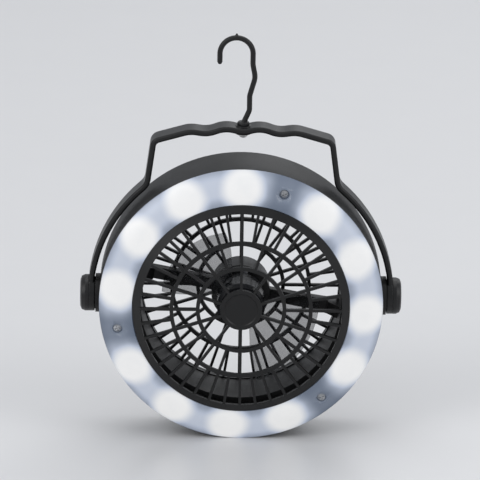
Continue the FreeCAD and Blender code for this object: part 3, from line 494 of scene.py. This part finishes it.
# %% [markdown]
# ## Cells
# The cells lie in bays behind the doors. Each is plain: a dark sleeve of shrunk film, a copper-coloured
# band at the positive end, and bare metal at both tips. Where a point lies along its cell decides which
# of these it is, and the cell's direction follows from the angle of its bay.

# %% The finish of a cell
band_place, tip_place, foot_place = 0.0095, 0.0227, -0.02155
band_fade, metal_fade = 0.0002, 0.00005


def cell_finish(name, angle):
    """A sleeve with a band at one end; the cell lies square to the radius at this angle."""
    finish = Finish(name)
    turn = math.radians(angle)
    lengthwise = (-math.sin(turn), 0.0, math.cos(turn))
    moved = finish.vectors("SUBTRACT", finish.place, (axis_x, 0.0, axis_z))["Vector"]
    along = finish.vectors("DOT_PRODUCT", moved, lengthwise)["Value"]
    scratches = finish.noise(500.0, 5.0, 0.7)
    band = along.step(band_place, band_place + band_fade)
    tip = along.step(tip_place, tip_place + metal_fade)
    foot = 1.0 - along.step(foot_place, foot_place + metal_fade)
    metal = (tip + foot).limit(0.0, 1.0)
    sleeve = finish.blend(scratches, (0.012, 0.014, 0.022, 1.0), (0.030, 0.034, 0.048, 1.0))
    sleeve = finish.blend(band, sleeve, (0.48, 0.22, 0.09, 1.0))
    shade = finish.blend(metal, sleeve, (0.62, 0.62, 0.60, 1.0))
    return finish.surface({"Base Color": shade, "Metallic": (metal + band * 0.4).limit(0.0, 1.0),
                           "Roughness": scratches * 0.18 + 0.2, "Normal": finish.bump(scratches, 0.00001)})


for number, group_angle in enumerate(group_angles, 1):
    dress(cell_finish("cell_wrap_%d" % number, group_angle), "battery_%d" % number)

# %% [markdown]
# ## Writing shapes as trees
# A Geometry Nodes tree is a recipe for a shape: what goes in are sizes with names, and what comes out is
# a mesh. It could be wired by hand in the editor. Written as calls it can be read from top to bottom, and
# run again with other sizes. Every tree here ends by making its instances real and giving them their
# material.

# %% Trees
class Tree:
    """A Geometry Nodes tree with named number inputs."""

    def __init__(self, name, inputs):
        self.group = bpy.data.node_groups.new(name, "GeometryNodeTree")
        self.group.interface.new_socket("Geometry", in_out="OUTPUT", socket_type="NodeSocketGeometry")
        for label, value in inputs.items():
            socket = self.group.interface.new_socket(label, in_out="INPUT", socket_type="NodeSocketFloat")
            socket.default_value = value
        self.inputs = self.group.nodes.new("NodeGroupInput").outputs

    def add(self, kind, sockets=None, **settings):
        """Adds one node and gives its outputs. A list puts several wires in one socket."""
        node = self.group.nodes.new(kind)
        for name, value in settings.items():
            setattr(node, name, value)
        for key, value in (sockets or {}).items():
            for wire in value if isinstance(value, list) else [value]:
                if isinstance(wire, bpy.types.NodeSocket):
                    self.group.links.new(wire, node.inputs[key])
                else:
                    node.inputs[key].default_value = wire
        return node.outputs

    def maths(self, operation, *values):
        return self.add("ShaderNodeMath", dict(enumerate(values)), operation=operation)[0]

    def vector(self, x=0.0, y=0.0, z=0.0):
        return self.add("ShaderNodeCombineXYZ", {0: x, 1: y, 2: z})[0]

    def move(self, geometry, translation=(0.0, 0.0, 0.0), rotation=(0.0, 0.0, 0.0)):
        return self.add("GeometryNodeTransform", {
            "Geometry": geometry, "Translation": translation, "Rotation": rotation})[0]

    def join(self, geometries):
        return self.add("GeometryNodeJoinGeometry", {0: geometries})[0]

    def end(self, geometry, material):
        """Makes instances real, gives them their material and closes the tree."""
        solid = self.add("GeometryNodeRealizeInstances", {"Geometry": geometry})[0]
        painted = self.add("GeometryNodeSetMaterial", {"Geometry": solid, "Material": material})[0]
        self.add("NodeGroupOutput", {0: painted})
        return self.group

# %% Run a tree
def grow(name, group, values, slot, *replaced):
    """Runs a tree on an empty mesh and keeps the result as a plain mesh."""
    holder = bpy.data.objects.new(name + "_holder", bpy.data.meshes.new(name + "_holder"))
    bpy.context.scene.collection.objects.link(holder)
    modifier = holder.modifiers.new("make", "NODES")
    modifier.node_group = group
    for item in group.interface.items_tree:
        if item.in_out == "INPUT" and item.name in values:
            modifier[item.identifier] = values[item.name]
    bpy.context.view_layer.update()
    made = holder.evaluated_get(bpy.context.evaluated_depsgraph_get())
    mesh = bpy.data.meshes.new_from_object(made)
    holder.modifiers.remove(modifier)
    bpy.data.objects.remove(holder)
    return add_piece(name, mesh, slot, *replaced)

# %% [markdown]
# ## Screw heads with their crosses
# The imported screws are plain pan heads, because a cross recess is too fine for the solid model. Six of
# them show: three in the lens and three in the cover. They are all alike, so one tree makes a head, cuts
# the cross out of it, and sets a copy at each of three points round a circle. The tree's inputs are the
# sizes a maker would give: head radius, head height, slot width and shank length. The cross is turned a
# little against the head, because a cut that runs exactly along the head's own edges leaves slivers
# behind.

# %% A domed head
def domed_head(tree):
    """A short cylinder with a top that falls away towards its rim."""
    radius = tree.inputs["Head radius"]
    cylinder = tree.add("GeometryNodeMeshCylinder", {
        "Vertices": 32, "Side Segments": 2, "Fill Segments": 5, "Radius": radius,
        "Depth": tree.inputs["Head height"]}, fill_type="TRIANGLE_FAN")[0]
    x, y, z = tree.add("ShaderNodeSeparateXYZ", {0: tree.add("GeometryNodeInputPosition")[0]})
    squared = tree.maths("ADD", tree.maths("MULTIPLY", x, x), tree.maths("MULTIPLY", y, y))
    share = tree.maths("DIVIDE", squared, tree.maths("MULTIPLY", radius, radius))
    drop = tree.maths("MULTIPLY", share, tree.inputs["Dome"])
    on_top = tree.maths("GREATER_THAN", z, 0.0)
    fall = tree.maths("MULTIPLY", tree.maths("MULTIPLY", drop, on_top), -1.0)
    return tree.add("GeometryNodeSetPosition", {"Geometry": cylinder, "Offset": tree.vector(z=fall)})[0]

# %% The bars of the cross, and the shank
cross_turn = 0.07


def cross_bars(tree):
    """Two bars across the middle of the head's top, square to each other."""
    length = tree.maths("MULTIPLY", tree.inputs["Slot reach"], 2.0)
    height = tree.maths("MULTIPLY", tree.inputs["Slot depth"], 2.0)
    size = tree.vector(length, tree.inputs["Slot width"], height)
    bar = tree.add("GeometryNodeMeshCube", {"Size": size})[0]
    top = tree.vector(z=tree.maths("MULTIPLY", tree.inputs["Head height"], 0.5))
    turns = (cross_turn, cross_turn + math.pi / 2)
    return tree.join([tree.move(bar, top, (0.0, 0.0, turn)) for turn in turns])


def plain_shank(tree):
    """A rod that hangs from the underside of the head."""
    length = tree.inputs["Shank length"]
    rod = tree.add("GeometryNodeMeshCylinder", {
        "Vertices": 20, "Radius": tree.inputs["Shank radius"], "Depth": length})[0]
    below = tree.maths("MULTIPLY", tree.maths("ADD", length, tree.inputs["Head height"]), -0.5)
    return tree.move(rod, tree.vector(z=below))

# %% Three screws on a circle
head_height = 0.0014
head_turn = 0.6
merge_within = 0.00001


def screw_tree(material):
    tree = Tree("screws_round_a_circle", {
        "Head radius": 0.0023, "Head height": head_height, "Dome": 0.0005, "Slot width": 0.0007,
        "Slot reach": 0.0015, "Slot depth": 0.0008, "Shank radius": 0.0011, "Shank length": 0.0075,
        "Circle radius": screw_circle, "First angle": 0.0, "Seat depth": 0.0, "Facing": -1.0,
        "Centre height": 0.0})
    cut = tree.add("GeometryNodeMeshBoolean", {
        0: domed_head(tree), 1: cross_bars(tree), "Self Intersection": True},
        operation="DIFFERENCE", solver="EXACT")[0]
    clean = tree.add("GeometryNodeMergeByDistance", {"Geometry": cut, "Distance": merge_within})[0]
    screw = tree.join([clean, plain_shank(tree)])
    circle = tree.add("GeometryNodeMeshCircle", {"Vertices": 3, "Radius": tree.inputs["Circle radius"]})[0]
    spread = tree.add("GeometryNodeInstanceOnPoints", {"Points": circle, "Instance": screw})[0]
    turned = tree.add("GeometryNodeRotateInstances", {
        "Instances": spread, "Rotation": (0.0, 0.0, head_turn)})[0]
    spun = tree.move(turned, rotation=tree.vector(z=tree.inputs["First angle"]))
    tilt = tree.vector(tree.maths("MULTIPLY", tree.inputs["Facing"], -math.pi / 2))
    seat = tree.vector(y=tree.inputs["Seat depth"], z=tree.inputs["Centre height"])
    return tree.end(tree.move(spun, seat, tilt), material)


screws = screw_tree(bright_screw)
print("screw tree nodes", len(screws.nodes))

# %% [markdown]
# ## Screws in the lens and the cover
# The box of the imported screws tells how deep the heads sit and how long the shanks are. The front set
# faces the viewer and the back set faces away, so one of them runs the other way round its circle.

# %% Place the screws of the lens and the cover
def set_screws(name, node, facing):
    """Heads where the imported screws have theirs; facing is -1 for the front and 1 for the back."""
    low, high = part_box(node)
    outer = low.y if facing < 0 else high.y
    # Standing the circle up mirrors it for heads that face the front, so their first angle changes sign.
    first = math.radians(first_screw_angle) * -facing
    return grow(name, screws, {
        "Shank length": high.y - low.y - head_height, "First angle": first, "Facing": float(facing),
        "Seat depth": outer - facing * head_height / 2, "Centre height": axis_z}, "screw_steel", node)


screw_sets = (("lens_screw_set", "lens_screws", -1), ("cover_screw_set", "cover_screws", 1))
for set_name, packed, facing in screw_sets:
    heads = set_screws(set_name, packed, facing)

# %% [markdown]
# ## Springs of the cell contacts
# In each bay a small conical spring presses the cell against the contact at its other end. The packed
# contact has only the spring's outline, a cone on a plate, so here a wire is wound round that cone. A
# spiral curve is the path, a small circle swept along it is the wire, and a copy is turned round the drum
# into each bay.

# %% The spring tree
def spring_tree(material):
    tree = Tree("springs_in_the_bays", {
        "Foot radius": 0.00312, "Tip radius": 0.00205, "Height": 0.00175, "Turns": 2.75,
        "Wire radius": 0.00025, "Circle radius": 0.06245, "Foot place": -0.0237, "Depth": 0.0,
        "Centre height": 0.0})
    path = tree.add("GeometryNodeCurveSpiral", {
        "Resolution": 28, "Rotations": tree.inputs["Turns"], "Start Radius": tree.inputs["Foot radius"],
        "End Radius": tree.inputs["Tip radius"], "Height": tree.inputs["Height"]})[0]
    section = tree.add("GeometryNodeCurvePrimitiveCircle", {
        "Resolution": 8, "Radius": tree.inputs["Wire radius"]})[0]
    wire = tree.add("GeometryNodeCurveToMesh", {
        "Curve": path, "Profile Curve": section, "Fill Caps": True})[0]
    seat = tree.vector(tree.inputs["Circle radius"], tree.inputs["Depth"], tree.inputs["Foot place"])
    seated = tree.move(wire, seat)
    centre = tree.vector(z=tree.inputs["Centre height"])
    springs = [tree.move(seated, centre, (0.0, -math.radians(angle), 0.0)) for angle in group_angles]
    return tree.end(tree.join(springs), material)

# %% Wind the springs
cell_low, cell_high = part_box("battery_1")
springs = grow("contact_springs", spring_tree(tin_plate), {
    "Depth": (cell_low.y + cell_high.y) / 2, "Centre height": axis_z}, "contact_metal")
print("box", rounded((springs.bound_box[0], springs.bound_box[6])))

# %% [markdown]
# ## Floor and light
# A wide pale floor keeps the picture plain from every side. It has a slight gloss, so the lit ring leaves
# its soft reflection in front of the drum as it does in the photograph. Four large soft lamps, one on
# each side, one above and one behind, and an even sky show the black plastic by long quiet highlights.

# %% The floor
floor_radius = 9.0
floor_roughness = 0.28

stand = Finish("studio_floor")
speck = stand.noise(30.0, 4.0)
paper = stand.blend(speck, (0.615, 0.615, 0.622, 1.0), (0.63, 0.63, 0.636, 1.0))
floor_paper = stand.surface({"Base Color": paper, "Roughness": floor_roughness, "Specular IOR Level": 0.5})

disc = bmesh.new()
bmesh.ops.create_circle(disc, cap_ends=True, segments=64, radius=floor_radius)
floor_mesh = bpy.data.meshes.new("floor")
disc.to_mesh(floor_mesh)
disc.free()
floor_mesh.materials.append(floor_paper)
floor = bpy.data.objects.new("floor", floor_mesh)
bpy.context.scene.collection.objects.link(floor)
print("floor faces", len(floor_mesh.polygons))

# %% Lamps
fan_middle = Vector((0.0, 0.0, 0.1))


def soft_lamp(name, place, size, power):
    """A rectangle of light, in metres and watts, that looks at the fan and isn't seen itself."""
    data = bpy.data.lights.new(name, "AREA")
    data.shape = "RECTANGLE"
    data.size, data.size_y = size
    data.energy = power
    lamp = bpy.data.objects.new(name, data)
    bpy.context.scene.collection.objects.link(lamp)
    look = (Vector(place) - fan_middle).to_track_quat("Z", "Y")
    lamp.matrix_world = Matrix.Translation(place) @ look.to_matrix().to_4x4()
    lamp.visible_camera = False
    print(name, power, "W")


soft_lamp("lamp_left", (-1.3, -1.0, 1.1), (0.9, 1.4), 13.0)
soft_lamp("lamp_right", (1.4, -0.7, 0.9), (0.7, 1.3), 8.0)
soft_lamp("lamp_top", (0.0, 0.3, 1.7), (1.4, 1.0), 8.5)
soft_lamp("lamp_back", (0.5, 1.2, 1.2), (1.0, 0.8), 5.5)

# %% The sky
sky_colour = (0.92, 0.95, 1.0, 1.0)
sky_strength = 0.58

world = bpy.data.worlds.new("sky")
bpy.context.scene.world = world
world.use_nodes = True
world.node_tree.nodes["Background"].inputs["Color"].default_value = sky_colour
world.node_tree.nodes["Background"].inputs["Strength"].default_value = sky_strength
bpy.context.scene.view_settings.view_transform = "Standard"
print("sky", sky_strength)
